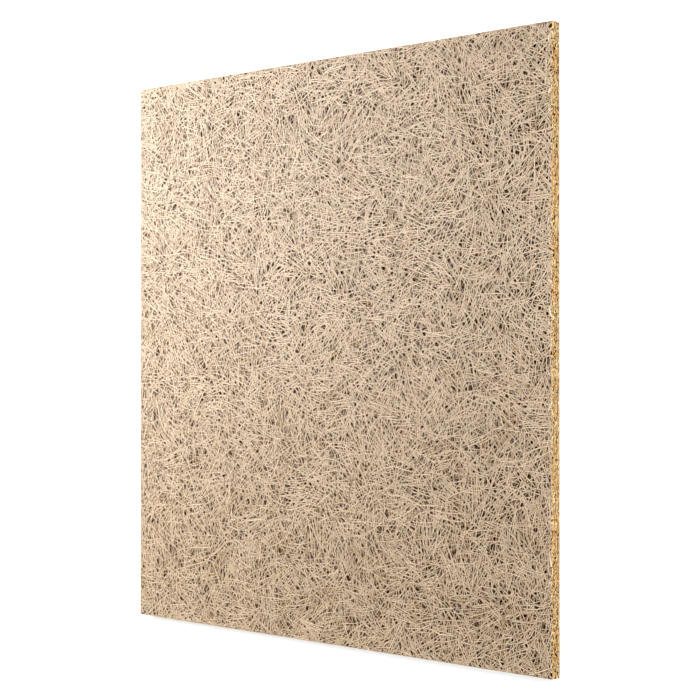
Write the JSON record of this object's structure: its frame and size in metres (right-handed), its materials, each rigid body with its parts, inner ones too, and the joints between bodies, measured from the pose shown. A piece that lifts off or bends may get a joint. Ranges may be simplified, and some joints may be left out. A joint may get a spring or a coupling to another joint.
{
  "type": "wood wool board",
  "caption": "Square board of bonded wood wool with straight sawn edges, fixed flat to walls and ceilings or laid in a ceiling grid.",
  "frame": {"origin": "centre of the back face, on which the board lies", "axes": "+Z out of the visible face; +X towards the edge that is nearest in the picture; +Y towards the edge that is uppermost in the picture"},
  "size_m": [0.6, 0.6, 0.012],
  "materials": {
    "wood_wool": "matte, mineral-bound wood wool strands, beige faces and golden sawn edges"
  },
  "bodies": {
    "root": {"wood_wool_board": "wood_wool"}
  },
  "joints": []
}
